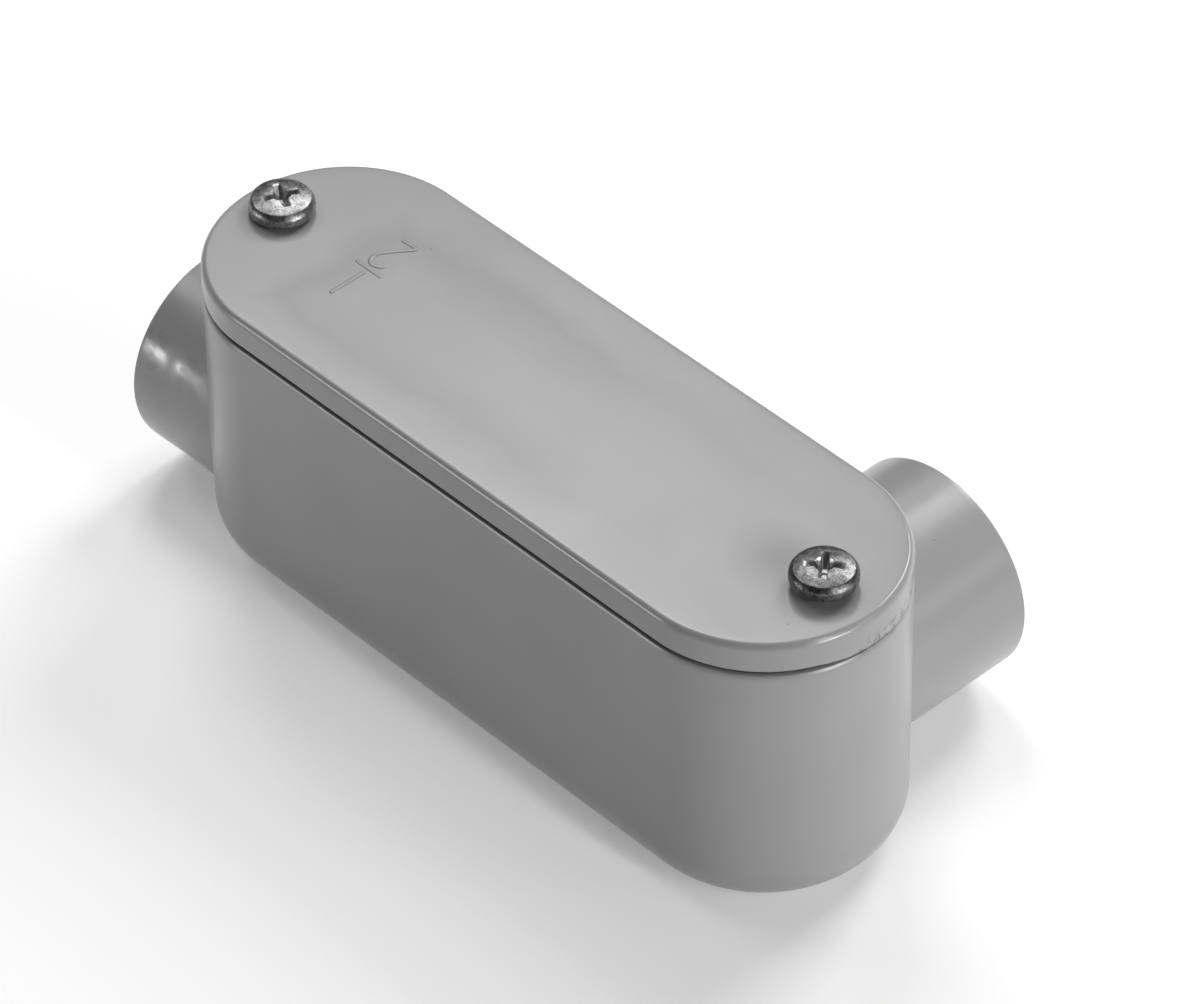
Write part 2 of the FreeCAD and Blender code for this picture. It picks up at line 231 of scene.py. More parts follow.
class Finish:
    # a Principled material whose nodes all read the object's own coordinates
    def __init__(self, name):
        self.material = bpy.data.materials.new(name)
        self.material.use_nodes = True
        self.nodes = self.material.node_tree.nodes
        self.links = self.material.node_tree.links
        self.shader = self.nodes["Principled BSDF"]
        self.coordinates = self.nodes.new("ShaderNodeTexCoord").outputs["Object"]
        self.normal = None

    def axes(self):
        split = self.nodes.new("ShaderNodeSeparateXYZ")
        self.links.new(self.coordinates, split.inputs[0])
        return split.outputs

    def noise(self, scale, detail):
        texture = self.nodes.new("ShaderNodeTexNoise")
        texture.inputs["Scale"].default_value = scale
        texture.inputs["Detail"].default_value = detail
        self.links.new(self.coordinates, texture.inputs["Vector"])
        return texture.outputs["Fac"]

    def cells(self, scale):
        texture = self.nodes.new("ShaderNodeTexVoronoi")
        texture.inputs["Scale"].default_value = scale
        self.links.new(self.coordinates, texture.inputs["Vector"])
        return texture.outputs["Distance"]

    def calculate(self, operation, first, second):
        node = self.nodes.new("ShaderNodeMath")
        node.operation = operation
        for socket, value in zip(node.inputs, (first, second)):
            if isinstance(value, bpy.types.NodeSocket):
                self.links.new(value, socket)
            else:
                socket.default_value = value
        return node.outputs[0]

    def multiply(self, first, second):
        return self.calculate("MULTIPLY", first, second)

    def remap(self, value, fromLow, fromHigh, toLow, toHigh):
        # from one range to another, and never beyond the second
        node = self.nodes.new("ShaderNodeMapRange")
        for number, limit in enumerate((fromLow, fromHigh, toLow, toHigh), start=1):
            node.inputs[number].default_value = limit
        self.links.new(value, node.inputs[0])
        return node.outputs[0]

    def clouds(self, scale, detail, low, high):
        # noise spread from low to high: nearly all of the texture lies from 0.3 to 0.7
        return self.remap(self.noise(scale, detail), 0.3, 0.7, low, high)

    def blend(self, share, first, second):
        mix = self.nodes.new("ShaderNodeMix")
        for socket, value in zip(mix.inputs, (share, None, first, second)):
            if isinstance(value, bpy.types.NodeSocket):
                self.links.new(value, socket)
            elif value is not None:
                socket.default_value = value
        return mix.outputs[0]

    def mixColour(self, share, first, second):
        mix = self.nodes.new("ShaderNodeMix")
        mix.data_type = "RGBA"
        self.links.new(share, mix.inputs["Factor"])
        for socket, colour in ((mix.inputs[6], first), (mix.inputs[7], second)):
            if isinstance(colour, bpy.types.NodeSocket):
                self.links.new(colour, socket)
            else:
                socket.default_value = (*colour, 1)
        return mix.outputs[2]

    def nearness(self, place, full, none):
        # 1 within full metres of a place, 0 beyond none
        apart = self.nodes.new("ShaderNodeVectorMath")
        apart.operation = "DISTANCE"
        apart.inputs[1].default_value = place
        self.links.new(self.coordinates, apart.inputs[0])
        return self.remap(apart.outputs["Value"], full, none, 1, 0)

    def inwardShade(self, panel):
        # strongest just inside the panel's edge, falling to 0 outside it and further in
        places, nearest = self.axes(), None
        for axis in (0, 1):
            for depth in (self.calculate("SUBTRACT", places[axis], panel["low"][axis]),
                          self.calculate("SUBTRACT", panel["high"][axis], places[axis])):
                nearest = depth if nearest is None else self.calculate("MINIMUM", nearest, depth)
        waver = self.clouds(panel["waverScale"], 2, -panel["waver"], panel["waver"])
        wavy = self.calculate("ADD", nearest, waver)
        outer, crest, inner = panel["depths"]
        rise = self.remap(wavy, outer, crest, 0, 1)
        fall = self.remap(wavy, crest, inner, 1, 0)
        fade = self.remap(places[0], *panel["fadeAlong"], *panel["strength"])
        return self.multiply(self.multiply(rise, fall), fade)

    def belowDome(self, place, top):
        # how deep in the cross of the screw at place, 0 on the domed skin of its head
        x, y, z = self.axes()
        across = self.calculate("SUBTRACT", x, place)
        squaredReach = self.calculate("ADD", self.multiply(across, across), self.multiply(y, y))
        domeHeight = screwShape["headHeight"] - screwShape["creaseHeight"]
        fallen = self.multiply(squaredReach, domeHeight / screwShape["creaseRadius"] ** 2)
        below = self.calculate("SUBTRACT", self.calculate("SUBTRACT", top, z), fallen)
        full, none = zincLook["crossReach"]
        return self.multiply(self.remap(squaredReach, full ** 2, none ** 2, 1, 0), below)

    def spotted(self, roughness, spots):
        # dull round the spots, glossy in them, with ragged edges
        for place in spots["places"]:
            dull = self.nearness(place, *spots["dullReach"])
            roughness = self.blend(dull, roughness, spots["dull"])
        ragged = self.clouds(spots["raggedScale"], 2, *spots["ragged"])
        for place in spots["places"]:
            glossy = self.multiply(self.nearness(place, *spots["glossReach"]), ragged)
            roughness = self.blend(self.remap(glossy, 0, 1, 0, 1), roughness, spots["gloss"])
        return roughness

    def relief(self, height, depth):
        # adds a bump whose full height is depth metres
        bump = self.nodes.new("ShaderNodeBump")
        bump.inputs["Distance"].default_value = depth
        self.links.new(height, bump.inputs["Height"])
        if self.normal:
            self.links.new(self.normal, bump.inputs["Normal"])
        self.normal = bump.outputs["Normal"]
        self.links.new(self.normal, self.shader.inputs["Normal"])


def grey(value):
    return (value, value, value)


mouldedPlastic = {
    "colour": 0.315, "colourDrift": 0.018, "driftScale": 55, "driftSpread": (0.2, 0.8),
    # roughness that wanders across 0.27 shows as outlined patches once a picture is denoised,
    # so each piece keeps to its own side of it
    "roughness": {"body": (0.28, 0.31), "cover": (0.225, 0.265)}, "roughnessScale": 130,
    "wave": 8e-6, "waveScale": 75, "grain": 4e-7, "grainScale": 1400, "refraction": 1.53,
    # dust and burnt grains in the resin: a few dark points, some cells apart
    "speckColour": 0.13, "speckStrength": 0.6, "speckCells": 230, "speckSize": (0.025, 0.04),
    "speckAreas": 90, "speckRarity": (0.61, 0.62),
}
# inside the cover's rim: painted shade of shrink dips, most at the panel's end hub corners
sunkPanel = {
    "low": (-37.6 * mm, -12.8 * mm), "high": (44 * mm, 11.2 * mm), "colour": 0.235,
    "depths": (-1.35 * mm, 2.25 * mm, 9 * mm),  # where the shade starts, is full and ends
    "waver": 1.6 * mm, "waverScale": 70,
    "fadeAlong": (-10 * mm, 30 * mm), "strength": (0.55, 0.16),
    # painted shadow beside the side-hub screw, where its head shades the cover
    "paintedScrewShadow": (38.8 * mm, -0.4 * mm, 42.8 * mm), "paintedScrewShadowReach": (1 * mm, 7 * mm),
}
# rubbed spots on the end hub, more glossy than the dull skin round them; a reach is how far
# from its place a spot is full, and where it ends
glossSpots = {
    "places": [(-58.8 * mm, -12.3 * mm, 21.0 * mm), (-52.0 * mm, -12.5 * mm, 20.6 * mm)],
    "gloss": 0.16, "glossReach": (1.9 * mm, 3.4 * mm),
    "dull": 0.38, "dullReach": (3.5 * mm, 7 * mm), "ragged": (0.4, 1.3), "raggedScale": 600,
}
# darker patches in the seam, round the side-hub end, at these angles
seamDarkening = {
    "angles": (-2, 6, 14, 22, 29), "height": 38.7 * mm, "reach": (0.3 * mm, 1.7 * mm),
    "colour": 0.09, "strength": 0.85, "patchScale": 1100, "patches": (0.46, 0.62),
}


def darkenSeam(finish, resin):
    patchy = finish.remap(finish.noise(seamDarkening["patchScale"], 3), *seamDarkening["patches"],
                          0, seamDarkening["strength"])
    for angle in seamDarkening["angles"]:
        turn = math.radians(angle)
        place = (halfSpacing + outerRadius * math.cos(turn), outerRadius * math.sin(turn),
                 seamDarkening["height"])
        near = finish.nearness(place, *seamDarkening["reach"])
        resin = finish.mixColour(finish.multiply(near, patchy), resin, grey(seamDarkening["colour"]))
    return resin


def mouldedFinish(name, roughness, panel=None, spots=None):
    look, finish = mouldedPlastic, Finish(name)
    base, change = look["colour"], look["colourDrift"]
    drift = finish.remap(finish.noise(look["driftScale"], 1), *look["driftSpread"], 0, 1)
    resin = finish.mixColour(drift, grey(base - change), grey(base + change))
    if panel:
        # painted shade: the panel's shrink dips and the side screw's shadow darken the resin
        paintedShade = grey(panel["colour"])
        resin = finish.mixColour(finish.inwardShade(panel), resin, paintedShade)
        # painted shadow of the side-hub screw's head
        paintedScrewShadow = finish.nearness(panel["paintedScrewShadow"], *panel["paintedScrewShadowReach"])
        resin = finish.mixColour(paintedScrewShadow, resin, paintedShade)
    resin = darkenSeam(finish, resin)
    points = finish.remap(finish.cells(look["speckCells"]), *look["speckSize"], 1, 0)
    few = finish.remap(finish.noise(look["speckAreas"], 1), *look["speckRarity"],
                       0, look["speckStrength"])
    resin = finish.mixColour(finish.multiply(points, few), resin, grey(look["speckColour"]))
    finish.links.new(resin, finish.shader.inputs["Base Color"])
    roughness = finish.clouds(look["roughnessScale"], 4, *roughness)
    if spots:
        roughness = finish.spotted(roughness, spots)
    finish.links.new(roughness, finish.shader.inputs["Roughness"])
    finish.relief(finish.noise(look["waveScale"], 2), look["wave"])
    finish.relief(finish.noise(look["grainScale"], 2), look["grain"])
    finish.shader.inputs["IOR"].default_value = look["refraction"]
    return finish.material


# the foam's own colour, taken down to near black: painted shade for the gap under the cover
foamLook = {
    "dark": 0.010, "light": 0.034, "shadeScale": 900, "shadeSpread": (0.35, 0.65),
    "roughness": 0.9, "pore": 6e-5, "poreCells": 2400,
}


def foamFinish(name):
    look, finish = foamLook, Finish(name)
    share = finish.remap(finish.noise(look["shadeScale"], 4), *look["shadeSpread"], 0, 1)
    finish.links.new(finish.mixColour(share, grey(look["dark"]), grey(look["light"])),
                     finish.shader.inputs["Base Color"])
    finish.shader.inputs["Roughness"].default_value = look["roughness"]
    finish.relief(finish.cells(look["poreCells"]), look["pore"])
    return finish.material


zincLook = {
    # painted shade: the side screw is the same zinc, coloured darker than the end screw
    "bright": {"end": 0.37, "side": 0.24}, "dull": {"end": 0.13, "side": 0.08},
    "cloudScales": (1300, 5200), "fineShare": 0.55, "cloudSpread": (0.38, 0.60),
    "roughness": (0.30, 0.46), "roughnessScale": 1800,
    "dent": 1.6e-5, "dentScale": 1500, "pit": 1.6e-5, "pitScale": 4600,
    # painted highlights brighten the cross's walls, most at its edges; the depths are below the
    # dome
    "crossEdgeHighlight": 0.95, "crossWallReflection": 0.42, "crossReach": (2.95 * mm, 3.1 * mm),
    "edgeStarts": (0.04 * mm, 0.10 * mm), "edgeEnds": (0.18 * mm, 0.34 * mm),
}


def zincFinish(name):
    look, finish = zincLook, Finish("dull_zinc_" + name)
    finish.shader.inputs["Metallic"].default_value = 1
    coarse, fine = look["cloudScales"]
    cloud = finish.blend(look["fineShare"], finish.noise(coarse, 4), finish.noise(fine, 2))
    plate = finish.mixColour(finish.remap(cloud, *look["cloudSpread"], 0, 1),
                             grey(look["dull"][name]), grey(look["bright"][name]))
    depth = finish.belowDome(screws[name]["place"], screws[name]["top"])
    # painted highlights and reflections on the cross's edges and walls
    paintedCrossGlint = finish.mixColour(finish.remap(depth, *look["edgeEnds"], 0, 1),
                              grey(look["crossEdgeHighlight"]), grey(look["crossWallReflection"]))
    zinc = finish.mixColour(finish.remap(depth, *look["edgeStarts"], 0, 1), plate, paintedCrossGlint)
    finish.links.new(zinc, finish.shader.inputs["Base Color"])
    finish.links.new(finish.clouds(look["roughnessScale"], 3, *look["roughness"]),
                     finish.shader.inputs["Roughness"])
    finish.relief(finish.noise(look["dentScale"], 4), look["dent"])
    finish.relief(finish.noise(look["pitScale"], 2), look["pit"])
    return finish.material


bodyPlastic = mouldedFinish("grey_moulding", mouldedPlastic["roughness"]["body"],
                            spots=glossSpots)
coverPlastic = mouldedFinish("grey_cover_moulding", mouldedPlastic["roughness"]["cover"],
                             panel=sunkPanel)
foam = foamFinish("closed_cell_foam")
print("materials made")


# conduit body: box, hubs, wiring chamber, sockets and throats

bodyShape = {
    "baseRadius": 6.5 * mm, "wall": 2.8 * mm, "floor": 3.0 * mm,
    "hubRadius": 14.05 * mm, "hubRim": 0.25 * mm,
    "stopThickness": {"end": 2.6 * mm, "side": 3.4 * mm},
    "socketDepth": 17.5 * mm, "leadIn": 0.6 * mm, "throatRadius": 8.1 * mm, "throatEdge": 1.0 * mm,
    "postRadius": 4.3 * mm, "pilotRadius": 2.1 * mm, "pilotDepth": 9.6 * mm,
    # the wall's last turn inwards below the lip, as (inset, depth), then the lip's rounded bevel
    "brink": ((0, 0.38 * mm), (0.04 * mm, 0.305 * mm)),
    "lipRadius": 0.15 * mm, "lipArc": (28, 78), "lipBevel": 0.14 * mm, "lipFall": 0.17 * mm,
    "lipSlope": 0.6 * mm,
    "lipRipple": 0.05 * mm, "rippleScales": (350, 1300), "fineRipple": 0.6, "rippleCap": 0.3,
    # rings that keep the wall's shading flat: above the bottom's curve and below the lip
    "wallRings": (0.8 * mm, 1.2 * mm),
    # the end hub has shrunk a little behind its mouth
    "waistStart": 1.5 * mm, "waistLength": 11.2 * mm, "waistDepth": 0.10 * mm,
    "barrelRings": 24, "firstRing": 0.4 * mm, "ringSpacing": 0.55 * mm,
    # the fillet between a hub and the box; its edges run on and sink a hair into both
    "hubRoot": 0.8 * mm, "rootRun": 0.35 * mm, "rootSink": 0.012 * mm,
}
hubs = {
    "end": {"mouth": Vector((bodyLow.x, 0, hubHeight)), "inward": Vector((1, 0, 0)),
            "length": bodyShape["socketDepth"] + bodyShape["stopThickness"]["end"]},
    "side": {"mouth": Vector((sideHubPlace, bodyHigh.y, hubHeight)), "inward": Vector((0, -1, 0)),
             "length": bodyHigh.y},
}


def lipRipple(point):
    # the parting edge isn't cut dead straight
    coarse, fine = [noise.noise(point * scale) for scale in bodyShape["rippleScales"]]
    wander = coarse + bodyShape["fineRipple"] * fine
    return 0, bodyShape["lipRipple"] * min(wander, bodyShape["rippleCap"])


def boxOutside():
    base, lip = bodyShape["baseRadius"], bodyShape["lipRadius"]
    edge = lipHeight - bodyShape["lipFall"]
    lowRing, highRing = bodyShape["wallRings"]
    profile = arcPoints((outerRadius - base, base), base, -90, 0, steps=16)
    profile += [(outerRadius, base + lowRing), (outerRadius, lipHeight - highRing)]
    profile += [(outerRadius - inset, edge - depth) for inset, depth in bodyShape["brink"]]
    rings = [stadiumRing(radius, height) for radius, height in profile]
    start, end = bodyShape["lipArc"]
    centre = outerRadius - bodyShape["lipBevel"] - lip * math.cos(math.radians(start))
    for radius, height in arcPoints((centre, edge - lip), lip, start, end, steps=5):
        rings.append(stadiumRing(radius, height, lipRipple))
    rings.append(stadiumRing(centre - bodyShape["lipSlope"], lipHeight))
    return solid("conduit_body_shell", rings)


def screwTongue(place, low, high):
    # a half-round nose round a screw, with straight sides out to the end wall
    side, radius = math.copysign(1, place), bodyShape["postRadius"]
    nose = [Vector((place - side * x, y, low))
            for x, y in arcPoints((0, 0), radius, -90, 90, steps=32)]
    out = side * (halfSpacing + outerRadius - bodyShape["wall"] / 2)
    ring = nose + [Vector((out, radius, low)), Vector((out, -radius, low))]
    return solid("tongue", [ring, [point + Vector((0, 0, high - low)) for point in ring]])


def barrelRadius(name, depth):
    share = min(max((depth - bodyShape["waistStart"]) / bodyShape["waistLength"], 0), 1)
    shrunk = bodyShape["waistDepth"] * (1 - math.cos(2 * math.pi * share)) / 2
    return bodyShape["hubRadius"] - (shrunk if name == "end" else 0)


def hubBarrel(name):
    hub, rim = hubs[name], bodyShape["hubRim"]
    profile = [(rim - inward, radius) for inward, radius in
               arcPoints((0, bodyShape["hubRadius"] - rim), rim, 0, 90, steps=5)]
    for step in range(bodyShape["barrelRings"]):
        depth = rim + bodyShape["firstRing"] + step * bodyShape["ringSpacing"]
        profile.append((depth, barrelRadius(name, depth)))
    profile.append((hub["length"], bodyShape["hubRadius"]))
    return solid(name + "_barrel", turnedRings(profile, hub["mouth"], hub["inward"],
                                               smoothness["barrelSteps"]))


def hubBore(name):
    # lead-in, socket, stop, and a throat that is bevelled at both ends
    hub, socket, throat = hubs[name], socketRadius, bodyShape["throatRadius"]
    edge, depth, leadIn = bodyShape["throatEdge"], bodyShape["socketDepth"], bodyShape["leadIn"]
    stop = depth + bodyShape["stopThickness"][name]
    profile = [(-past, socket + leadIn + past), (leadIn, socket), (depth, socket)]
    profile += [(depth + edge - along, radius) for along, radius in
                arcPoints((0, throat + edge), edge, 0, -90, steps=6)]
    profile += [(stop - edge + along, radius) for along, radius in
                arcPoints((0, throat + edge), edge, -90, -20, steps=6)]
    profile.append((stop + 2 * past, throat + edge + past))
    return solid(name + "_bore", turnedRings(profile, hub["mouth"], hub["inward"],
                                             smoothness["boreSteps"]))


def wiringSpace():
    # the chamber, less the end hub's barrel with its foot and the two screw posts
    radius, floor = outerRadius - bodyShape["wall"], bodyShape["floor"]
    corner = bodyShape["baseRadius"] - bodyShape["wall"]
    profile = arcPoints((radius - corner, floor + corner), corner, -90, 0, steps=10)
    profile.append((radius, lipHeight + past))
    space = solid("wiring_space", [stadiumRing(r, z) for r, z in profile])
    hub, barrel = hubs["end"], bodyShape["hubRadius"]
    inner = hub["mouth"].x + hub["length"]
    barrelInside = rod("barrel", hub["mouth"], hub["inward"], hub["length"], barrel,
                       smoothness["barrelSteps"])
    foot = [Vector((hub["mouth"].x, y, 0)) for y in (-barrel, barrel)]
    foot += [Vector((inner, y, 0)) for y in (barrel, -barrel)]
    barrelFoot = solid("foot", [foot, [point + Vector((0, 0, hubHeight)) for point in foot]])
    posts = [screwTongue(screw["place"], -past, lipHeight + 2 * past)
             for screw in screws.values()]
    combine(space, "DIFFERENCE", barrelInside, barrelFoot, *posts)
    return space


def boxDistance(point):
    # how far a point in the lower part is outside the box
    across = Vector((max(abs(point.x) - halfSpacing, 0), point.y)).length - outerRadius
    base = bodyShape["baseRadius"]
    inset, depth = across + base, base - point.z
    return (Vector((max(inset, 0), max(depth, 0))).length + min(max(inset, depth), 0)) - base


def boxOutward(point):
    step = 0.01 * mm
    slope = [boxDistance(point + direction * step) - boxDistance(point - direction * step)
             for direction in (Vector((1, 0, 0)), Vector((0, 1, 0)), Vector((0, 0, 1)))]
    return Vector(slope).normalized()


def hubRoot(name):
    # the fillet that a ball would leave as it rolls round the hub against the box
    hub, ball = hubs[name], bodyShape["hubRoot"]
    sink, run = bodyShape["rootSink"], bodyShape["rootRun"]
    steps, facets, halvings = smoothness["barrelSteps"], 8, 30
    axis = -hub["inward"]
    first = Vector((0, 0, 1))
    second = axis.cross(first)
    rows = []
    for step in range(steps):
        angle = 2 * math.pi * step / steps
        radial = first * math.cos(angle) + second * math.sin(angle)
        near, far = 0.0, hub["length"]
        for _ in range(halvings):
            depth = (near + far) / 2
            centre = hub["mouth"] - axis * depth + radial * (barrelRadius(name, depth) + ball)
            if boxDistance(centre) > ball:
                near = depth
            else:
                far = depth
        toBox = -boxOutward(centre)
        row = [centre - radial * ball + axis * run - radial * sink]
        for facet in range(facets + 1):
            direction = (-radial).slerp(toBox, facet / facets)
            row.append(centre + direction * ball)
        away = (radial - toBox * radial.dot(toBox)).normalized()
        row.append(row[-1] + away * run + toBox * sink)
        rows.append(row)
    rings = [[row[number] for row in rows] for number in range(len(rows[0]))]
    return newObject(name + "_root", lambda mesh: addRings(mesh, rings, capped=False))


def makeConduitBody():
    shell = boxOutside()
    combine(shell, "UNION", hubBarrel("end"), hubBarrel("side"))
    pilots = [rod("pilot", (screw["place"], 0, lipHeight + past), (0, 0, -1),
                  bodyShape["pilotDepth"] + past, bodyShape["pilotRadius"],
                  smoothness["pilotSteps"]) for screw in screws.values()]
    combine(shell, "DIFFERENCE", wiringSpace(), hubBore("end"), hubBore("side"), *pilots)
    append(shell, hubRoot("end"))
    append(shell, hubRoot("side"))
    smoothSurface(shell, creaseAngle=32)
    dress(shell, "housing", "conduit_body", bodyPlastic)


makeConduitBody()
print("conduit body made")


# cover: a plate with a soft shoulder, cored out below, with the trade size raised on it

coverShape = {
    "edgeWidth": 0.75 * mm, "edgeDepth": 1.0 * mm, "edgePower": 1.8,
    "shoulderWidth": 2.7 * mm, "shoulderDrop": 0.02 * mm,
    "rimRadius": 0.32 * mm, "rimWidth": 2.8 * mm, "recess": 1.9 * mm, "holeRadius": 2.35 * mm,
    # rings that keep the shading flat: above the rim's curve, below the edge, on the flat top
    "lowRing": 0.8 * mm, "highRing": 0.3 * mm, "topRings": (0.5 * mm, 1.5 * mm),
    "markWidth": 0.60 * mm, "markHeight": 0.14 * mm, "markSink": 0.02 * mm,
    "markSpacing": 0.06 * mm, "markTip": 0.02,
}
# the fraction's strokes in mm, read with its top towards -Y
tradeSizeMark = {
    "one": [(-31.73, -6.05), (-31.79, -0.24)],
    "bar": [(-34.15, 0.27), (-29.49, 0.26)],
    "two": [(-30.68, 1.97), (-31.35, 1.28), (-32.35, 1.12), (-33.10, 1.75), (-33.15, 2.91),
            (-32.30, 4.30), (-31.30, 5.70), (-30.68, 6.81), (-33.10, 6.74)],
}


def coverOutside():
    rim, edge, low = coverShape["rimRadius"], coverShape["edgeWidth"], coverLow.z
    depth, power = coverShape["edgeDepth"], coverShape["edgePower"]
    wide, drop = coverShape["shoulderWidth"], coverShape["shoulderDrop"]
    profile = arcPoints((outerRadius - rim, low + rim), rim, -90, 0, steps=5)
    profile += [(outerRadius, low + coverShape["lowRing"]),
                (outerRadius, coverTop - drop - depth - coverShape["highRing"])]
    # the edge is rounded between a bevel and an ellipse
    degreesApart, shoulderSteps = 6, 8
    insets = [edge * (1 - math.cos(math.radians(angle)) ** (2 / power))
              for angle in range(0, 90, degreesApart)]
    insets += [edge + (wide - edge) * step / shoulderSteps
               for step in range(shoulderSteps + 1)]
    insets += [wide + further for further in coverShape["topRings"]]
    for inset in insets:
        fall = drop * max(1 - inset / wide, 0) ** 2
        if inset < edge:
            fall += depth * (1 - (1 - (1 - inset / edge) ** power) ** (1 / power))
        profile.append((outerRadius - inset, coverTop - fall))
    return solid("cover_plate", [stadiumRing(radius, height) for radius, height in profile])


def smoothPath(corners, spacing):
    # a smooth curve through the corners, with points at about even spacing
    points = [Vector((x * mm, y * mm)) for x, y in corners]
    if len(points) > 2:
        ends = [points[0] * 2 - points[1]] + points + [points[-1] * 2 - points[-2]]
        path, steps = [], 12
        for a, b, c, d in zip(ends, ends[1:], ends[2:], ends[3:]):
            for step in range(steps):
                t = step / steps
                path.append(0.5 * (2 * b + (c - a) * t + (2 * a - 5 * b + 4 * c - d) * t ** 2
                                   + (3 * b - a - 3 * c + d) * t ** 3))
        points = path + [points[-1]]
    even, carried = [points[0]], 0.0
    for start, end in zip(points, points[1:]):
        length = (end - start).length
        while carried + spacing < length:
            carried += spacing
            even.append(start.lerp(end, carried / length))
        carried -= length
    return even + [points[-1]]


def markStroke(corners):
    # a low rounded bead along a stroke, rounded off at both ends
    half, rise, facets = coverShape["markWidth"] / 2, coverShape["markHeight"], 8
    sink, least = coverShape["markSink"], coverShape["markTip"] ** 2
    path = smoothPath(corners, coverShape["markSpacing"])
    lengths = [0.0]
    for start, end in zip(path, path[1:]):
        lengths.append(lengths[-1] + (end - start).length)
    rings = []
    for number, point in enumerate(path):
        ahead, behind = path[min(number + 1, len(path) - 1)], path[max(number - 1, 0)]
        forward = (ahead - behind).normalized()
        across = Vector((-forward.y, forward.x))
        toEnd = min(lengths[number], lengths[-1] - lengths[number], half)
        fullness = math.sqrt(max(1 - (1 - toEnd / half) ** 2, least))
        ring = []
        for step in range(facets + 1):
            angle = math.radians(180 * step / facets)
            side = point + across * half * fullness * math.cos(angle)
            height = coverTop + (rise + sink) * fullness * math.sin(angle) - sink
            ring.append(Vector((*side, height)))
        rings.append(ring)
    return rings


# a ragged lip of flash that hangs from the cover's lower edge round the side-hub end: it grows
# from dropFrom to dropTo between the angles, and tapers off at both ends
flashShape = {
    "from": -22, "to": 36, "steps": 160, "dropFrom": 0.1 * mm, "dropTo": 0.66 * mm,
    "growth": 1.4, "taper": 8, "ragged": 0.16 * mm, "raggedScale": 22,
    "thick": 0.4 * mm, "inset": 0.04 * mm, "edgeBevel": 0.08 * mm, "buried": 0.3 * mm,
}


def coverFlash():
    shape, rings = flashShape, []
    high, bevel = coverLow.z + shape["buried"], shape["edgeBevel"]
    for step in range(shape["steps"] + 1):
        share = step / shape["steps"]
        angle = math.radians(shape["from"] + (shape["to"] - shape["from"]) * share)
        outward = Vector((math.cos(angle), math.sin(angle), 0))
        fullness = min(1, shape["taper"] * share, shape["taper"] * (1 - share))
        ragged = shape["ragged"] * noise.noise(outward * shape["raggedScale"])
        outer = Vector((halfSpacing, 0, 0)) + outward * (outerRadius - shape["inset"])
        inner = outer - outward * shape["thick"]
        grown = min(shape["growth"] * share, 1)
        drop = shape["dropFrom"] + (shape["dropTo"] - shape["dropFrom"]) * grown
        low = coverLow.z - max(fullness * (drop + ragged), 0)
        rings.append([outer + Vector((0, 0, high)), outer + Vector((0, 0, low + bevel)),
                      outer - outward * bevel + Vector((0, 0, low)), inner + Vector((0, 0, low)),
                      inner + Vector((0, 0, high))])
    return solid("flash", rings)


def makeCover():
    plate = coverOutside()
    low, inner = coverLow.z, outerRadius - coverShape["rimWidth"]
    through = 8 * mm  # longer than the plate is thick
    core = solid("core", [stadiumRing(inner, low - past),
                          stadiumRing(inner, low + coverShape["recess"])])
    combine(core, "DIFFERENCE",
            *[screwTongue(screw["place"], low - 2 * past, low + 3 * past)
              for screw in screws.values()])
    holes = [rod("hole", (screw["place"], 0, low - 2 * past), (0, 0, 1), through,
                 coverShape["holeRadius"], smoothness["holeSteps"]) for screw in screws.values()]
    combine(plate, "DIFFERENCE", core, *holes)
    for name, corners in tradeSizeMark.items():
        rings = markStroke(corners)
        append(plate, newObject(name, lambda mesh: addRings(mesh, rings, capped=False,
                                                            looped=False)))
    append(plate, coverFlash())
    smoothSurface(plate, creaseAngle=32)
    dress(plate, "housing", "cover", coverPlastic)


makeCover()
print("cover made")


# gasket: foam with a ragged edge, set back from the walls, a little more between these angles
# round the side-hub end

gasketShape = {
    "band": 2.9 * mm, "setback": 0.36 * mm, "ragged": 0.10 * mm, "raggedScale": 900,
    "roundEdge": 0.12 * mm, "deeperFrom": -30, "deeperTo": 75, "deeperSetback": 0.45 * mm,
    "gradual": 15,  # degrees over which the deeper setback comes in
}


def gasketEdge(point):
    ragged = gasketShape["ragged"] * noise.noise(point * gasketShape["raggedScale"])
    out = -gasketShape["setback"]
    if point.x > halfSpacing:
        angle = math.degrees(math.atan2(point.y, point.x - halfSpacing))
        inside = min(angle - gasketShape["deeperFrom"], gasketShape["deeperTo"] - angle)
        share = min(max(inside / gasketShape["gradual"], 0), 1)
        out += (gasketShape["setback"] - gasketShape["deeperSetback"]) * share
    return out + ragged, 0


def makeGasket():
    low, high = lipHeight, coverLow.z
    rounded = outerRadius - gasketShape["roundEdge"]
    rings = [stadiumRing(rounded, low, gasketEdge),
             stadiumRing(outerRadius, (2 * low + high) / 3, gasketEdge),
             stadiumRing(outerRadius, (low + 2 * high) / 3, gasketEdge),
             stadiumRing(rounded, high, gasketEdge)]
    inner = outerRadius - gasketShape["band"] - gasketShape["setback"]
    rings += [stadiumRing(inner, high), stadiumRing(inner, low), rings[0]]
    gasket = newObject("gasket_ring", lambda mesh: addRings(mesh, rings, capped=False))
    smoothSurface(gasket, creaseAngle=50)
    dress(gasket, "housing", "gasket", foam)


makeGasket()
print("gasket made")


# cover screws: pan heads with a driver's cross, on threaded shanks

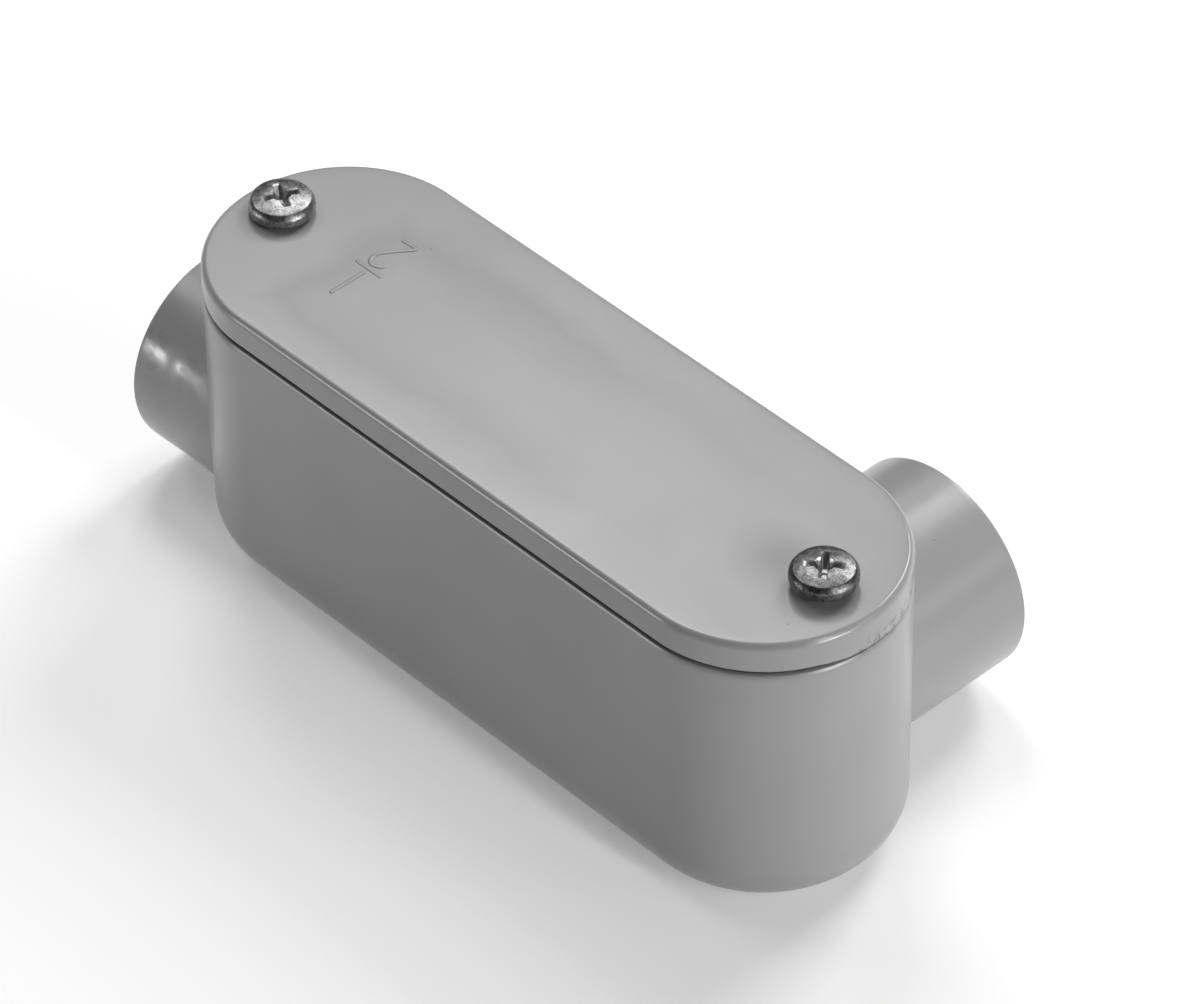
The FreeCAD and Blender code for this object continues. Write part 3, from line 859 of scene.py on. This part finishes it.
screwShape = {
    # the head: a rolled lower edge, as (height, inset), a side that bulges up to a crease, a dome
    "headRadius": 4.1 * mm, "headHeight": 2.4 * mm,
    "rolledEdge": ((0.06 * mm, 0.22 * mm), (0.10 * mm, 0.08 * mm), (0.20 * mm, 0.01 * mm),
                   (0.40 * mm, 0)),
    "bulgeStart": 0.9 * mm, "creaseRadius": 3.6 * mm, "creaseHeight": 1.8 * mm,
    # the cross: two tapered slots and a tapered core, cut from above the dome
    "wingSpan": 5.6 * mm, "wingFloorSpan": 1.9 * mm, "wingWidth": 1.1 * mm,
    "wingFloorWidth": 0.7 * mm, "recessDepth": 1.9 * mm, "cutAbove": 0.3 * mm,
    "coreRadius": 1.3 * mm, "coreTaper": (1.1, 0.6, 0.25), "coreBelow": 0.2 * mm,
    "turn": {"end": 66, "side": 40},
    # how fine the head's mesh is rebuilt, how often it is relaxed, and what share is kept
    "grid": 0.055 * mm, "wear": {"end": 2, "side": 4}, "relax": 0.5, "keptShare": 0.4,
    "threadRadius": 2.04 * mm, "rootRadius": 1.55 * mm, "pitch": 0.794 * mm,
    "threadInHead": 0.2 * mm,
    "tipHeight": 0.2 * mm, "tipRadius": 0.9 * mm, "tipTopRadius": 1.3 * mm,
}


def headBlank(place, seat):
    radius, height = screwShape["headRadius"], screwShape["headHeight"]
    crease, creaseHeight = screwShape["creaseRadius"], screwShape["creaseHeight"]
    bulge, bulgeSteps, domeSteps = screwShape["bulgeStart"], 8, 12
    profile = [(rise, radius - inset) for rise, inset in screwShape["rolledEdge"]]
    for step in range(1, bulgeSteps + 1):
        share = step / bulgeSteps
        profile.append((bulge + (creaseHeight - bulge) * share,
                        radius - (radius - crease) * share ** 2))
    for step in range(1, domeSteps):
        reach = crease * (1 - step / domeSteps)
        profile.append((creaseHeight + (height - creaseHeight) * (1 - (reach / crease) ** 2),
                        reach))
    return solid("head", turnedRings(profile, (place, 0, seat), (0, 0, 1),
                                     smoothness["headSteps"]))


def crossWing(place, top, turn):
    # one slot of the cross: wide and long at its mouth, narrow and short at its floor
    mouth = (-screwShape["cutAbove"], screwShape["wingSpan"], screwShape["wingWidth"])
    floor = (screwShape["recessDepth"], screwShape["wingFloorSpan"], screwShape["wingFloorWidth"])
    rings = []
    for depth, span, width in (mouth, floor):
        corners = [(-span / 2, -width / 2), (span / 2, -width / 2), (span / 2, width / 2),
                   (-span / 2, width / 2)]
        rings.append([Vector((place + x * math.cos(turn) - y * math.sin(turn),
                              x * math.sin(turn) + y * math.cos(turn), top - depth))
                      for x, y in corners])
    return solid("wing", rings)


def crossCore(place, top):
    radius, depth = screwShape["coreRadius"], screwShape["recessDepth"]
    depths = (-screwShape["cutAbove"], 0.5 * depth, depth + screwShape["coreBelow"])
    profile = [(along, radius * taper) for along, taper in zip(depths, screwShape["coreTaper"])]
    return solid("core", turnedRings(profile, (place, 0, top), (0, 0, -1),
                                     smoothness["coreSteps"]))


def soften(piece, wear):
    # plated edges: the mesh is rebuilt on a fine grid and relaxed, more so where it is worn
    remesh = piece.modifiers.new("grid", "REMESH")
    remesh.mode = "VOXEL"
    remesh.voxel_size = screwShape["grid"]
    relax = piece.modifiers.new("relax", "SMOOTH")
    relax.factor = screwShape["relax"]
    relax.iterations = wear
    thin = piece.modifiers.new("thin", "DECIMATE")
    thin.ratio = screwShape["keptShare"]
    applyModifiers(piece)


def threadRows(place, tip, seat):
    # the thread's profile, as (share of a pitch, radius), climbs one pitch a turn and is cut
    # off below by the bevelled tip
    root, crest, pitch = screwShape["rootRadius"], screwShape["threadRadius"], screwShape["pitch"]
    profile = ((0.0, root), (0.38, crest), (0.52, crest), (0.90, root), (1.0, root))
    low, high = tip + screwShape["tipHeight"], seat + screwShape["threadInHead"]
    steps = smoothness["threadSteps"]
    rows = []
    for step in range(steps * (int((high - low) / pitch) + 3)):
        angle = 2 * math.pi * step / steps
        base = low - pitch * (2 - step / steps)
        row = []
        for share, radius in profile:
            height = min(max(base + share * pitch, low), high)
            radius = min(radius, screwShape["tipTopRadius"] + height - low)
            row.append(Vector((place + radius * math.cos(angle), radius * math.sin(angle), height)))
        rows.append(row)
    return rows


def makeScrew(name):
    screw = screws[name]
    place, top, tip = screw["place"], screw["top"], screw["tip"]
    seat = top - screwShape["headHeight"]
    turn = math.radians(screwShape["turn"][name])
    piece = headBlank(place, seat)
    combine(piece, "DIFFERENCE", crossWing(place, top, turn),
            crossWing(place, top, turn + math.pi / 2), crossCore(place, top))
    soften(piece, screwShape["wear"][name])
    rows = threadRows(place, tip, seat)
    append(piece, newObject("thread", lambda mesh: addRings(mesh, rows, capped=False,
                                                            looped=False)))
    tipProfile = [(0, screwShape["tipRadius"]),
                  (screwShape["tipHeight"], screwShape["tipTopRadius"])]
    append(piece, solid("tip", turnedRings(tipProfile, (place, 0, tip), (0, 0, 1),
                                           smoothness["threadSteps"])))
    piece.name = screw["node"] + "_detailed"
    smoothSurface(piece, creaseAngle=48, byArea=False)
    dress(piece, screw["body"], screw["node"], zincFinish(name))


for name in screws:
    makeScrew(name)
print("screws made")


# studio: pale floor, large soft lights above and behind, and lower ones round the sides

studio = {
    "floorColour": 0.86, "floorGlow": 0.26, "floorRoughness": 0.9, "floorGloss": 0.1,
    "floorSize": 40, "floorDrop": 0.05 * mm, "roomLight": 0.02,
    "distance": 0.9, "aimHeight": 0.03,
    "lights": {
        # azimuth from +X towards +Y, and height, both in degrees
        "overhead": {"azimuth": 144, "height": 55, "size": (0.30, 0.44), "power": 2.72},
        "back": {"azimuth": 98, "height": 42, "size": (0.34, 0.42), "power": 4.38},
        "left": {"azimuth": 192, "height": 48, "size": (0.30, 0.24), "power": 1.1},
        "right": {"azimuth": 3, "height": 6, "size": (0.34, 0.12), "power": 3.3},
        "strip": {"azimuth": 0, "height": 29, "size": (0.06, 0.40), "power": 1.5},
        "rightBack": {"azimuth": 28, "height": 20, "size": (0.26, 0.22), "power": 0.5},
        # low and further off: the glossy spots on the end hub mirror it
        "front": {"azimuth": 236.7, "height": 3.8, "size": (0.40, 0.30), "power": 5.4,
                  "distance": 2.0},
        "top": {"azimuth": 0, "height": 90, "size": (0.30, 0.30), "power": 0.5},
    },
}


def seenRays(nodes, links):
    # 1 for rays from the camera, from a reflection or through glass
    path = nodes.new("ShaderNodeLightPath")
    total = path.outputs["Is Camera Ray"]
    for name in ("Is Glossy Ray", "Is Transmission Ray"):
        add = nodes.new("ShaderNodeMath")
        add.operation = "MAXIMUM"
        links.new(total, add.inputs[0])
        links.new(path.outputs[name], add.inputs[1])
        total = add.outputs[0]
    return total


def makeFloor():
    floor = newObject("floor", lambda mesh: bmesh.ops.create_grid(
        mesh, x_segments=20, y_segments=20, size=studio["floorSize"]))
    floor.location.z = -studio["floorDrop"]
    material = bpy.data.materials.new("floor_paper")
    material.use_nodes = True
    nodes, links = material.node_tree.nodes, material.node_tree.links
    shader = nodes["Principled BSDF"]
    shader.inputs["Base Color"].default_value = (*grey(studio["floorColour"]), 1)
    shader.inputs["Roughness"].default_value = studio["floorRoughness"]
    shader.inputs["Specular IOR Level"].default_value = studio["floorGloss"]
    shader.inputs["Emission Color"].default_value = (1, 1, 1, 1)
    glow = nodes.new("ShaderNodeMath")
    glow.operation = "MULTIPLY"
    glow.inputs[1].default_value = studio["floorGlow"]
    links.new(seenRays(nodes, links), glow.inputs[0])
    links.new(glow.outputs[0], shader.inputs["Emission Strength"])
    floor.data.materials.append(material)


def makeWorld():
    # the dim room that the lights stand in
    world = bpy.data.worlds.new("studio")
    bpy.context.scene.world = world
    world.use_nodes = True
    background = world.node_tree.nodes["Background"]
    background.inputs["Color"].default_value = (1, 1, 1, 1)
    background.inputs["Strength"].default_value = studio["roomLight"]


def makeLights():
    aim = Vector((0, 0, studio["aimHeight"]))
    for name, light in studio["lights"].items():
        data = bpy.data.lights.new(name, "AREA")
        data.shape = "RECTANGLE"
        data.size, data.size_y = light["size"]
        data.energy = light["power"]
        lamp = bpy.data.objects.new(name, data)
        azimuth, height = math.radians(light["azimuth"]), math.radians(light["height"])
        direction = Vector((math.cos(azimuth) * math.cos(height),
                            math.sin(azimuth) * math.cos(height), math.sin(height)))
        lamp.location = aim + direction * light.get("distance", studio["distance"])
        lamp.rotation_euler = direction.to_track_quat("Z", "Y").to_euler()
        bpy.context.scene.collection.objects.link(lamp)


makeFloor()
makeWorld()
makeLights()
bpy.context.scene.view_settings.view_transform = "Standard"
print("studio made")
